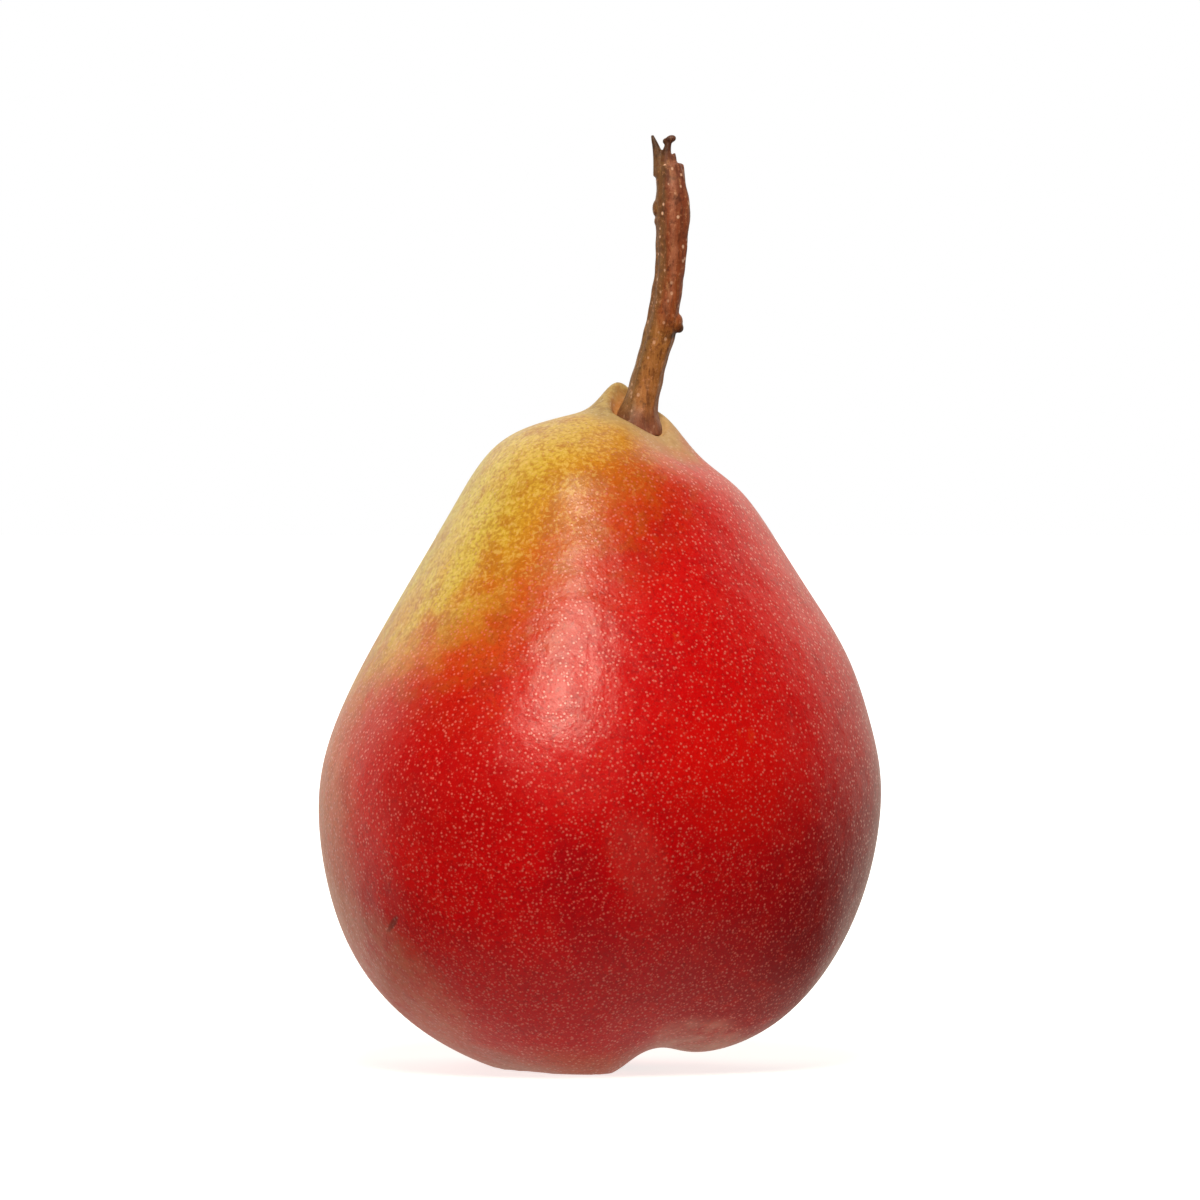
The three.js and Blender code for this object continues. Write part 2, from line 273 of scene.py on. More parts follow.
class Nodes:
    """A node tree that is built one node at a time."""

    def __init__(self, tree):
        self.tree = tree
        self.tree.nodes.clear()

    def add(self, kind, settings=None, sockets=None, output=0):
        """Adds a node: its settings first, then its sockets. Returns one of its outputs, if it has any."""
        node = self.tree.nodes.new(kind)
        for name, setting in (settings or {}).items():
            if name == "stops":
                set_stops(node.color_ramp, setting)
            else:
                setattr(node, name, setting)
        for name, value in (sockets or {}).items():
            for each in value if isinstance(value, list) else [value]:
                if isinstance(each, Value):
                    self.tree.links.new(each.socket, node.inputs[name])
                else:
                    node.inputs[name].default_value = each
        return Value(self, node.outputs[output]) if node.outputs else None


def set_stops(ramp, stops):
    """Gives a colour ramp its stops, each a place and a colour."""
    while len(ramp.elements) > 1:
        ramp.elements.remove(ramp.elements[-1])
    first_place, first_colour = stops[0]
    ramp.elements[0].position = first_place
    ramp.elements[0].color = first_colour
    for place, stop_colour in stops[1:]:
        ramp.elements.new(place).color = stop_colour


# ---------------------------------------------------------------- meshes


def body_from_rings(name, first, rings, last):
    """A closed mesh from rings of points in millimetres, with a point at each end, facing outwards."""
    count, around, _ = rings.shape
    points = np.concatenate([[first], rings.reshape(-1, 3), [last]]) * MM
    mesh = bpy.data.meshes.new(name)

    def at(ring, i):
        return 1 + ring * around + i % around

    faces = [(0, at(0, i), at(0, i + 1)) for i in range(around)]
    for ring in range(count - 1):
        for i in range(around):
            faces.append((at(ring, i), at(ring + 1, i), at(ring + 1, i + 1), at(ring, i + 1)))
    end = len(points) - 1
    faces += [(at(count - 1, i), end, at(count - 1, i + 1)) for i in range(around)]
    mesh.from_pydata(points.tolist(), [], faces)
    smooth_faces(mesh)
    body = bpy.data.objects.new(name, mesh)
    bpy.context.scene.collection.objects.link(body)
    return body


def smooth_faces(mesh):
    mesh.polygons.foreach_set("use_smooth", [True] * len(mesh.polygons))
    mesh.update()


def face_outwards(body):
    shape = bmesh.new()
    shape.from_mesh(body.data)
    bmesh.ops.recalc_face_normals(shape, faces=shape.faces)
    shape.to_mesh(body.data)
    shape.free()


def made_plain(body):
    """The body with its modifiers applied, as a plain mesh of its own."""
    shown = body.evaluated_get(bpy.context.evaluated_depsgraph_get())
    mesh = bpy.data.meshes.new_from_object(shown)
    body.modifiers.clear()
    body.data = mesh
    smooth_faces(mesh)
    return body


def joined(name, bodies):
    """Several bodies as one mesh object."""
    shape = bmesh.new()
    for body in bodies:
        shape.from_mesh(body.data)
    mesh = bpy.data.meshes.new(name)
    shape.to_mesh(mesh)
    shape.free()
    for body in bodies:
        bpy.data.objects.remove(body)
    whole = bpy.data.objects.new(name, mesh)
    bpy.context.scene.collection.objects.link(whole)
    return whole


def tube(name, spine, radii, around):
    """A closed round body along a list of points, with a radius at each of them."""
    spine = np.asarray(spine, float)
    along = np.gradient(spine, axis=0)
    along /= np.linalg.norm(along, axis=1)[:, None]
    side = np.array([1.0, 0, 0]) - along[:, :1] * along
    side /= np.linalg.norm(side, axis=1)[:, None]
    back = np.cross(along, side)
    angle = -2 * np.pi * np.arange(around) / around
    reach = np.asarray(radii, float).reshape(len(spine), -1, 1)
    rings = spine[:, None] + reach * (
        np.cos(angle)[None, :, None] * side[:, None] + np.sin(angle)[None, :, None] * back[:, None]
    )
    foot = spine[0] - along[0] * TUBE_ENDS[0]
    tip = spine[-1] + along[-1] * TUBE_ENDS[1]
    return body_from_rings(name, foot, rings, tip)


# ---------------------------------------------------------------- fruit


def groove_at(place, angle):
    """How deep the grooves between the lobes are."""
    reach = smoothstep(place, GROOVE_STARTS, GROOVE_DEEPEST)
    reach = reach * (1 - smoothstep(place, GROOVE_DEEPEST, GROOVE_ENDS))
    between = 0.5 + 0.5 * np.cos(LOBES * angle)
    side = LEFT_GROOVES + (1 - LEFT_GROOVES) * smoothstep(np.cos(angle), *LEFT_FADE)
    return GROOVE_DEPTH * reach * between * side


def foot_at(place, angle):
    """How far the two feet are lowered."""
    near = 0
    for foot in FOOT_ANGLES:
        away = np.mod(angle - math.radians(foot) + np.pi, 2 * np.pi) - np.pi
        near = np.maximum(near, bell(away, FOOT_SPREAD))
    return FOOT_DROP * near * bell(place - FOOT_RING, FOOT_RING_SPREAD)


def shoulder_at(place, x, y):
    """How high the lip, the ridge and the low place round the stem rise."""
    fade = 1 - smoothstep(place, SHOULDER_FADES, SHOULDER_ENDS)
    return fade * sum(
        rise * bell(x - bump_x, wide_x) * bell(y - bump_y, wide_y)
        for bump_x, bump_y, rise, wide_x, wide_y in SHOULDER_BUMPS
    )


def wave_at(place, angle):
    """How high the waves of the flank stand. There are none at the two outlines."""
    round_it = np.sin(WAVES * angle + WAVE_TWIST * place) * np.sin(angle)
    return WAVE_HEIGHT * bell(place - WAVE_RING, WAVE_SPREAD) * round_it


def skin_points(place, angle):
    """Points on the skin. The angle is 0 at the right outline and grows towards the back."""
    left_x, left_z, right_x, right_z, depth, behind = smooth_columns(RINGS, place)
    across = np.cos(angle)
    points = np.stack(
        [
            (left_x + right_x) / 2 + across * (right_x - left_x) / 2,
            behind + depth * np.sin(angle) * (1 - EGG * across),
            (left_z + right_z) / 2 + across * (right_z - left_z) / 2,
        ],
        axis=-1,
    )
    inward = np.array(BODY_MIDDLE) - points
    inward /= np.linalg.norm(inward, axis=-1, keepdims=True)
    points += inward * (groove_at(place, angle) - wave_at(place, angle))[..., None]
    points[..., 2] += shoulder_at(place, points[..., 0], points[..., 1]) - foot_at(place, angle)
    points[..., 2] = np.maximum(points[..., 2], 0)
    return points


def make_skin():
    """The skin, from the floor of the stem hollow to the floor of the calyx basin."""
    last = len(RINGS) - 1
    place, angle = np.meshgrid(
        last * np.arange(1, SKIN_RINGS) / SKIN_RINGS,
        2 * np.pi * np.arange(SKIN_AROUND) / SKIN_AROUND,
        indexing="ij",
    )
    ends = skin_points(np.array([0.0, last]), np.array([0.0, 0.0]))
    return body_from_rings("pear_skin", ends[0], skin_points(place, angle), ends[1])


# ---------------------------------------------------------------- stem


def make_shaft():
    """The shaft, with long soft ribs, uneven swellings and a flare at its foot."""
    x, y, z, radius = smooth_columns(STEM, np.linspace(0, len(STEM) - 1, STEM_RINGS))
    spine = np.stack([x, y, z], axis=-1)
    turn = 2 * np.pi * np.arange(STEM_AROUND) / STEM_AROUND
    height = spine[:, 2:3]
    ribs = 0.07 * np.sin(5 * turn + 0.11 * height) + 0.05 * np.sin(9 * turn - 0.2 * height)
    knots = 0.06 * np.sin(1.7 * height + 2 * turn) * np.sin(0.53 * height)
    flare = 0.35 * bell(height - STEM_FOOT, 1.0) * np.sin(4 * turn + 1.0)
    return tube("shaft", spine, radius[:, None] + ribs + knots + flare, STEM_AROUND)


def thin_piece(name, points, radii):
    """A splinter or a stalk: a tapering piece through a few points."""
    places = np.linspace(0, len(points) - 1, SPLINTER_POINTS)
    spine = np.stack(smooth_columns(points, places), axis=-1)
    return tube(name, spine, smooth_through(radii, places), SPLINTER_POINTS)


def lump(name, centre, size, lean=0.0):
    """A rounded lump, as a stack of rings between two poles."""
    polar = np.linspace(0, np.pi, LUMP_RINGS)[1:-1, None]
    turn = -2 * np.pi * np.arange(LUMP_AROUND) / LUMP_AROUND
    out = np.sin(polar)
    up = np.cos(np.pi - polar)
    rings = np.stack(
        [
            out * np.cos(turn) * size[0] + up * lean,
            out * np.sin(turn) * size[1],
            up * size[2] * np.ones_like(turn),
        ],
        axis=-1,
    )
    centre = np.array(centre, float)
    pole = np.array([lean, 0, size[2]])
    return body_from_rings(name, centre - pole, centre + rings, centre + pole)


def make_stem():
    """The shaft with its bud, scars, splinters and knob, fused into one skin."""
    parts = [make_shaft()]
    parts += [lump(name, *shape) for name, shape in STEM_LUMPS.items()]
    parts += [thin_piece(name, *shape) for name, shape in STEM_SPLINTERS.items()]
    parts += [lump(name, *shape) for name, shape in STEM_KNOBS.items()]
    stem = joined("stem_wood", parts)
    fuse = stem.modifiers.new("fuse", "REMESH")
    fuse.mode = "VOXEL"
    fuse.voxel_size = STEM_GRAIN * MM
    soften = stem.modifiers.new("soften", "SMOOTH")
    soften.iterations = 2
    made_plain(stem)
    return stem


# ---------------------------------------------------------------- calyx


def turned(first, second, degrees):
    """Two coordinates of points, turned by some degrees from the first axis towards the second."""
    cosine = math.cos(math.radians(degrees))
    sine = math.sin(math.radians(degrees))
    return first * cosine - second * sine, first * sine + second * cosine


def placed_in_basin(points):
    """Points of the calyx's own frame, whose +Z points out of the basin, at their place in the pear."""
    x, y, z = np.moveaxis(points, -1, 0)
    z, x = turned(z, x, 180 - CALYX_TILT)
    return np.stack([x, y, z], axis=-1) + np.array(CALYX_CENTRE)


def make_sepal(number):
    """One dried sepal: a thin pointed blade, cupped and crinkled, that curls out of the basin."""
    share = np.linspace(0, 1, SEPAL_STEPS)[:, None]
    swell = np.sin(np.pi * np.minimum(share * 0.9 + 0.22, 1))
    width = SEPAL_WIDTH * (SEPAL_FOOT_WIDTH + (1 - SEPAL_FOOT_WIDTH) * swell)
    half = width / 2 * np.maximum(1 - share**4, SEPAL_TIP_WIDTH)
    around = 2 * np.pi * np.arange(SEPAL_AROUND) / SEPAL_AROUND
    side = np.cos(around)[None]
    crinkle = 0.10 * np.sin(9 * share + 5 * side + number) + 0.06 * np.sin(23 * share - 4 * side)
    out = SEPAL_START + SEPAL_LENGTH * SEPAL_REACH * share + 0 * side
    lift = SEPAL_LIFT + SEPAL_CLIMB * share + SEPAL_CURL * share**2
    lift = lift + SEPAL_CUP * half * side**2 + crinkle * share
    rings = np.stack([out, side * half, lift + SEPAL_THICK / 2 * np.sin(around)[None]], axis=-1)
    base = np.array([SEPAL_START - 0.1, 0, SEPAL_LIFT])
    tip = rings[-1].mean(axis=0) + np.array([0.3, 0, -0.2])

    def in_place(points):
        x, y, z = np.moveaxis(points, -1, 0)
        x, y = turned(x, y, 360 / SEPALS * number + SEPAL_TURNS[number])
        return placed_in_basin(np.stack([x, y, z], axis=-1))

    sepal = body_from_rings(f"dried_sepal_{number + 1}", in_place(base), in_place(rings), in_place(tip))
    face_outwards(sepal)
    return sepal


def tuft_tree():
    """Geometry Nodes: withered stamens, each a bowed filament with an anther, on the points of a mesh."""
    tree = bpy.data.node_groups.new("withered_stamens", "GeometryNodeTree")
    tree.interface.new_socket("Geometry", in_out="INPUT", socket_type="NodeSocketGeometry")
    for name in ("Length", "Radius", "Bow"):
        tree.interface.new_socket(name, in_out="INPUT", socket_type="NodeSocketFloat")
    tree.interface.new_socket("Material", in_out="INPUT", socket_type="NodeSocketMaterial")
    tree.interface.new_socket("Geometry", in_out="OUTPUT", socket_type="NodeSocketGeometry")

    g = Nodes(tree)
    points, length, radius, bow, material = (
        g.add("NodeGroupInput", output=name) for name in ("Geometry", "Length", "Radius", "Bow", "Material")
    )
    tip = g.add("ShaderNodeCombineXYZ", sockets={"Z": length})
    bend = g.add("ShaderNodeCombineXYZ", sockets={"X": bow, "Z": length * 0.55})
    path = g.add(
        "GeometryNodeCurveQuadraticBezier",
        sockets={"Resolution": 7, "Start": (0, 0, 0), "Middle": bend, "End": tip},
    )
    ring = g.add("GeometryNodeCurvePrimitiveCircle", sockets={"Resolution": 8, "Radius": radius})
    filament = g.add(
        "GeometryNodeCurveToMesh",
        sockets={"Curve": path, "Profile Curve": ring, "Fill Caps": True},
    )
    ball = g.add("GeometryNodeMeshIcoSphere", sockets={"Subdivisions": 2, "Radius": radius * ANTHER_SWELL})
    anther = g.add(
        "GeometryNodeTransform",
        sockets={"Geometry": ball, "Translation": tip, "Scale": (1.0, 0.7, 1.5)},
    )
    stamen = g.add("GeometryNodeJoinGeometry", sockets={0: [filament, anther]})
    turn = g.add(
        "FunctionNodeRandomValue",
        {"data_type": "FLOAT_VECTOR"},
        {
            "Min": (-STAMEN_LEAN, -STAMEN_LEAN, 0),
            "Max": (STAMEN_LEAN, STAMEN_LEAN, 6.28),
            "Seed": 7,
        },
    )
    size = g.add(
        "FunctionNodeRandomValue",
        {"data_type": "FLOAT"},
        {2: STAMEN_SIZES[0], 3: STAMEN_SIZES[1], "Seed": 11},
        1,
    )
    planted = g.add(
        "GeometryNodeInstanceOnPoints",
        sockets={
            "Points": g.add("GeometryNodeMeshToPoints", sockets={"Mesh": points}),
            "Instance": stamen,
            "Rotation": turn,
            "Scale": size,
        },
    )
    real = g.add("GeometryNodeRealizeInstances", sockets={"Geometry": planted})
    painted = g.add("GeometryNodeSetMaterial", sockets={"Geometry": real, "Material": material})
    g.add("NodeGroupOutput", sockets={0: painted})
    return tree


def grown_stamens(material):
    """The stamens, on spots that spread evenly over the disc."""
    golden = math.pi * (3 - math.sqrt(5))
    spots = []
    for i in range(STAMENS):
        out = TUFT_RADIUS * STAMEN_SPREAD * math.sqrt(i / STAMENS)
        spots.append(Vector((math.cos(golden * i), math.sin(golden * i), 0)) * out * MM)
    mesh = bpy.data.meshes.new("stamen_spots")
    mesh.from_pydata(spots, [], [])
    stamens = bpy.data.objects.new("stamens", mesh)
    bpy.context.scene.collection.objects.link(stamens)
    grow = stamens.modifiers.new("grow", "NODES")
    grow.node_group = tuft_tree()
    values = {
        "Length": STAMEN_LENGTH * MM,
        "Radius": STAMEN_RADIUS * MM,
        "Bow": STAMEN_BOW * MM,
        "Material": material,
    }
    for item in grow.node_group.interface.items_tree:
        if item.in_out == "INPUT" and item.name in values:
            grow[item.identifier] = values[item.name]
    return made_plain(stamens)


def make_tuft(material):
    """Withered stamens on a small disc, turned into the basin."""
    disc = lump("disc", (0, 0, DISC_MIDDLE), (TUFT_RADIUS, TUFT_RADIUS, DISC_HEIGHT))
    tuft = joined("stamens_dried", [grown_stamens(material), disc])
    flat = np.empty(len(tuft.data.vertices) * 3)
    tuft.data.vertices.foreach_get("co", flat)
    points = flat.reshape(-1, 3) / MM + np.array([0, 0, TUFT_LIFT])
    tuft.data.vertices.foreach_set("co", (placed_in_basin(points) * MM).ravel())
    smooth_faces(tuft.data)
    face_outwards(tuft)
    return tuft


# ---------------------------------------------------------------- materials


def colour(red, green, blue):
    """A colour given as it looks on a screen, 0 to 255, as the shader's linear colour."""
    parts = []
    for part in (red, green, blue):
        share = part / 255
        parts.append(share / 12.92 if share <= 0.04045 else ((share + 0.055) / 1.055) ** 2.4)
    return (*parts, 1.0)


class Finish(Nodes):
    """A material and its nodes. Places on the piece are in millimetres."""

    def __init__(self, name):
        self.material = bpy.data.materials.new(name)
        self.material.use_nodes = True
        super().__init__(self.material.node_tree)
        place = self.add("ShaderNodeTexCoord", output="Object")
        self.place = self.add("ShaderNodeVectorMath", {"operation": "SCALE"}, {0: place, "Scale": 1 / MM})
        self.x, self.y, self.z = (
            self.add("ShaderNodeSeparateXYZ", sockets={0: self.place}, output=axis) for axis in "XYZ"
        )

    def stretched(self, x, y, z):
        """The place on the piece, scaled along each axis."""
        return self.add("ShaderNodeVectorMath", {"operation": "MULTIPLY"}, {0: self.place, 1: (x, y, z)})

    def noise(self, spacing, detail=2.0, roughness=0.5, place=None, shift=0.0, twist=0.0):
        """Soft random values around 0.5, with features about one spacing apart, in millimetres."""
        moved = {0: place or self.place, 1: (shift, shift, shift)}
        where = self.add("ShaderNodeVectorMath", {"operation": "ADD"}, moved)
        sockets = {
            "Vector": where,
            "Scale": 1 / spacing,
            "Detail": detail,
            "Roughness": roughness,
            "Distortion": twist,
        }
        return self.add("ShaderNodeTexNoise", sockets=sockets)

    def spots(self, spacing, low, high, randomness=1.0, place=None):
        """1 inside round spots and 0 outside. Low and high are shares of the spacing."""
        sockets = {"Vector": place or self.place, "Scale": 1 / spacing, "Randomness": randomness}
        distance = self.add("ShaderNodeTexVoronoi", sockets=sockets, output="Distance")
        return distance.step(high, low)

    def ramp(self, factor, stops):
        return self.add("ShaderNodeValToRGB", {"stops": stops}, {"Fac": factor})

    def mix(self, factor, first, second):
        """The first colour where the factor is 0, the second where it is 1."""
        return self.add("ShaderNodeMix", {"data_type": "RGBA"}, {0: factor, 6: first, 7: second}, 2)

    def bump(self, height, distance, strength=1.0, under=None):
        """A normal from a height. The distance is the real height of the relief, in millimetres."""
        sockets = {"Height": height, "Distance": distance * MM, "Strength": strength}
        if under is not None:
            sockets["Normal"] = under
        return self.add("ShaderNodeBump", sockets=sockets)

    def close(self, constants, varying):
        """Ends in one Principled shader, with its constants set on it and its varying values linked."""
        shader = self.add("ShaderNodeBsdfPrincipled", sockets={**constants, **varying})
        self.add("ShaderNodeOutputMaterial", sockets={"Surface": shader})
        return self.material


# The shade of the skin at the two ends of its colours.
REDDEST = 30
YELLOWEST = 62


def blush(f):
    """The ground colour, and the shade that it comes from: a low shade is red, a high one is yellow."""
    patches = f.noise(17, 3.0, 0.55) * 9 - 4.5
    fine_patches = f.noise(4.2, 3.0, 0.6, shift=40) * 3.4 - 1.7
    behind = f.y.at_least(0) * 0.35
    low_left = f.x.step(-10, -26) * f.z.step(66, 40) * f.y.step(18, -2) * 10.5
    shade = f.z * 0.69 - f.x * 0.72 - low_left + behind + patches + fine_patches
    ground = f.ramp(
        (shade - REDDEST) / (YELLOWEST - REDDEST),
        [
            (0.0, colour(214, 3, 6)),
            (0.2, colour(215, 8, 8)),
            (0.36, colour(206, 28, 6)),
            (0.47, colour(204, 56, 4)),
            (0.62, colour(202, 96, 6)),
            (0.73, colour(208, 138, 28)),
            (0.86, colour(212, 168, 58)),
            (1.0, colour(210, 176, 80)),
        ],
    )
    return ground, shade


def deepened(f, ground):
    """The red deepens to crimson towards the base, partly its own colour and partly painted shade; painted
    shade darkens the lower right; the far left is tan, partly its own colour and partly a painted rim
    reflection.
    """
    # Partly painted shade: the red turns a darker crimson towards the base, partly the skin's own crimson and
    # partly shade painted where less light reaches.
    deep = (f.x * 0.3 - f.z + f.noise(22, 2.0, shift=9) * 16).step(-34, 22)
    ground = f.mix(deep * 0.6, ground, colour(164, 2, 32))
    # Painted shade: the red darkens on the lower right, the side turned away from the key light.
    lower_right_shade = (f.x - f.z * 0.5 - f.y * 0.2 + f.noise(15, 2.0, shift=90) * 10).step(6, 28)
    ground = f.mix(lower_right_shade * 0.45, ground, colour(116, 4, 12))
    # Partly the skin's tan and partly a painted reflection of the white studio along the left rim.
    tan_and_rim_reflection = (f.noise(9, 2.0, shift=27) * 3 - f.x).step(30, 36) * f.z.step(58, 50) * f.z.step(0, 10)
    return f.mix(tan_and_rim_reflection * 0.5, ground, colour(206, 146, 90))


def mottled(f, ground, shade, yellowness):
    """The yellow has green and brown patches and worm-like marks, the red has clouds and a fine grain."""
    redness = 1 - yellowness
    green = yellowness * f.x.step(-7, -15) * f.noise(6, 2.0, shift=18).step(0.34, 0.56)
    ground = f.mix(green * 0.6, ground, colour(216, 194, 66))
    brown = shade.step(36, 46) * f.noise(3.6, 4.0, 0.65, shift=51).step(0.46, 0.66)
    ground = f.mix(brown * 0.5, ground, colour(176, 92, 16))
    worms = f.noise(0.54, 2.0, 0.55, shift=3, twist=0.5)
    ground = f.mix(yellowness * worms.step(0.48, 0.66) * 0.55, ground, colour(176, 100, 32))
    ground = f.mix(yellowness * worms.step(0.5, 0.34) * 0.4, ground, colour(236, 200, 116))
    gloom = f.noise(5.5, 4.0, 0.6, shift=36)
    ground = f.mix(redness * gloom.step(0.5, 0.7) * 0.35, ground, colour(168, 4, 20))
    cloud = f.noise(2.4, 4.0, 0.6, shift=60)
    ground = f.mix(redness * cloud.step(0.48, 0.72) * 0.35, ground, colour(222, 34, 20))
    scuffs = f.noise(7, 5.0, 0.7, shift=93).step(0.6, 0.7) * cloud.step(0.46, 0.6) * f.z.step(30, 46)
    ground = f.mix(redness * scuffs * 0.5, ground, colour(216, 96, 40))
    grain = f.noise(0.5, 2.0, 0.6, shift=71)
    return f.mix(redness * grain.step(0.5, 0.68) * 0.35, ground, colour(130, 4, 12))


def front_mark(f, x, z, wide, tall, lean=0.0):
    """A soft oval on the front of the skin, given by its centre, its half sizes and its lean."""
    along = (f.z - z) / tall
    across = (f.x - x + (f.z - z) * lean) / wide
    return (along * along + across * across).step(1.0, 0.1) * f.y.step(0, -6)


def marked(f, ground):
    """Large soft marks of the front: bright and deep reds and dark bands, a pale mark that is partly a
    painted highlight, a painted highlight on the lower left flank and a painted reflection of the floor low
    on the right lobe.
    """
    bright = front_mark(f, 17, 37, 12, 11)
    ground = f.mix(bright * 0.4, ground, colour(226, 16, 4))
    deep_left = front_mark(f, -19, 38, 13, 13, 0.3)
    ground = f.mix(deep_left * 0.4, ground, colour(170, 2, 4))
    bands = front_mark(f, -2.4, 23, 5, 10, 0.2).at_least(front_mark(f, 26, 19, 6, 13, -0.4))
    ground = f.mix(bands * 0.26, ground, colour(132, 2, 22))
    # Partly a pale mark on the skin and partly a painted highlight of a gentle swell of the flesh.
    pale_mark_and_highlight = front_mark(f, 4.8, 27, 4.4, 8, 0.3) * f.noise(1.2, 3.0, 0.7, shift=77)
    ground = f.mix(pale_mark_and_highlight * 0.22, ground, colour(222, 110, 100))
    # Painted highlight: pale streaks where the relief of the lower left lobe catches the light.
    flank = front_mark(f, -25.5, 12.5, 7.5, 13, 0.8) * f.noise(2.2, 3.0, 0.6, shift=78).step(0.1, 0.7)
    ground = f.mix(flank * 0.45, ground, colour(214, 138, 104))
    # Painted reflection: the white floor mirrored pale on the underside of the right lobe.
    foot = front_mark(f, 12.5, 3.6, 8, 4.4) * f.noise(2.6, 3.0, 0.6, shift=79).step(0.1, 0.8)
    return f.mix(foot * 0.6, ground, colour(222, 168, 152))


def with_pores(f, ground, yellowness, pores):
    """Pale pores in two sizes, faint on the yellow. Towards the base the small ones are the stronger."""
    redness = 1 - yellowness * 0.85
    small_pores = f.spots(0.42, 0.16, 0.36)
    ground = f.mix(small_pores * redness * (0.24 + f.z.step(48, 4) * 0.5), ground, colour(222, 92, 80))
    strength = f.noise(2.2, 2.0, shift=5).step(0.1, 0.5) * (0.78 - f.z.step(32, 12) * 0.22)
    return f.mix(pores * strength * redness, ground, colour(230, 108, 98))


def with_nick(f, ground):
    """A small dark nick low on the left."""
    nick = front_mark(f, -25.4, 19.2, 0.55, 1.3, -0.5)
    return f.mix(nick * 0.6, ground, colour(64, 32, 20))


def distance_from(f, x):
    """How far a place is from the upright line through this x, halfway from front to back."""
    across = f.x - x
    return (across * across + f.y * f.y) ** 0.5


def with_russet(f, ground):
    """Tan russet round the foot of the stem and on the lip, and orange-brown painted shade in the hollow
    beside the stem. Also returns where the russet is.
    """
    from_stem = distance_from(f, 4.9)
    russet = (from_stem + f.noise(3, 3.0, shift=12) * 5).step(12.5, 6.0) * f.z.step(60, 72)
    russet_colour = f.mix(f.noise(1.2, 3.0, 0.7, shift=2), colour(166, 126, 76), colour(222, 190, 142))
    ground = f.mix(russet * 0.85, ground, russet_colour)
    lip = (f.z - f.x * 0.3 + f.noise(1.5, 3.0, 0.6, shift=44) * 1.6).step(80.4, 82.6)
    lip = lip * from_stem.step(8.5, 5.5)
    lip_grain = f.noise(0.9, 3.0, 0.65, shift=47).step(0.35, 0.65)
    ground = f.mix(lip * 0.8, ground, f.mix(lip_grain, colour(158, 122, 70), colour(190, 160, 104)))
    # Painted shade: orange-brown in the hollow on the left of the stem, where the gap between stem and lip is
    # shaded.
    hollow = (from_stem + f.noise(1.2, 2.0, shift=29) * 1.2).step(4.9, 3.6) * f.x.step(5.5, 3.0)
    return f.mix(hollow * 0.7, ground, colour(180, 100, 40)), russet


def with_tan_base(f, ground):
    """Tan round the basin of the calyx and under the lobes."""
    from_calyx = distance_from(f, CALYX_CENTRE[0])
    basin = (from_calyx + f.noise(3.5, 3.0, shift=81) * 7).step(17, 8) * f.z.step(9, 5)
    basin = basin.at_least((f.z + f.noise(5, 3.0, shift=87) * 4).step(7, 1.5) * 0.6)
    basin_colour = f.mix(f.noise(1.1, 3.0, 0.7, shift=83), colour(150, 84, 58), colour(204, 158, 112))
    return f.mix(basin * 0.6, ground, basin_colour)


def skin_finish():
    """Waxy skin: yellow at the upper left, through orange to red, with pale pores and russet."""
    f = Finish("waxy_skin")
    ground, shade = blush(f)
    yellowness = shade.step(42, 54)
    ground = deepened(f, ground)
    ground = mottled(f, ground, shade, yellowness)
    ground = marked(f, ground)
    pores = f.spots(0.61, 0.12, 0.36, 0.9)
    ground = with_pores(f, ground, yellowness, pores)
    ground = with_nick(f, ground)
    ground, russet = with_russet(f, ground)
    ground = with_tan_base(f, ground)

    normal = f.bump(f.noise(7, 2.0, 0.5, shift=14), 0.5, 0.7)
    normal = f.bump(f.noise(2.4, 2.0, 0.5, shift=62), 0.16, 0.6, under=normal)
    relief = f.noise(0.5, 3.0, 0.6, shift=33) * 0.7 + pores * 0.3
    normal = f.bump(relief, 0.09, 0.7, under=normal)
    roughness = 0.26 + f.noise(1.3, 2.0, shift=8) * 0.14 + russet * 0.25
    return f.close(
        {"IOR": 1.42, "Specular IOR Level": 0.46, "Coat IOR": 1.5, "Coat Roughness": 0.3},
        {"Base Color": ground, "Roughness": roughness, "Coat Weight": pores * 0.8, "Normal": normal},
    )


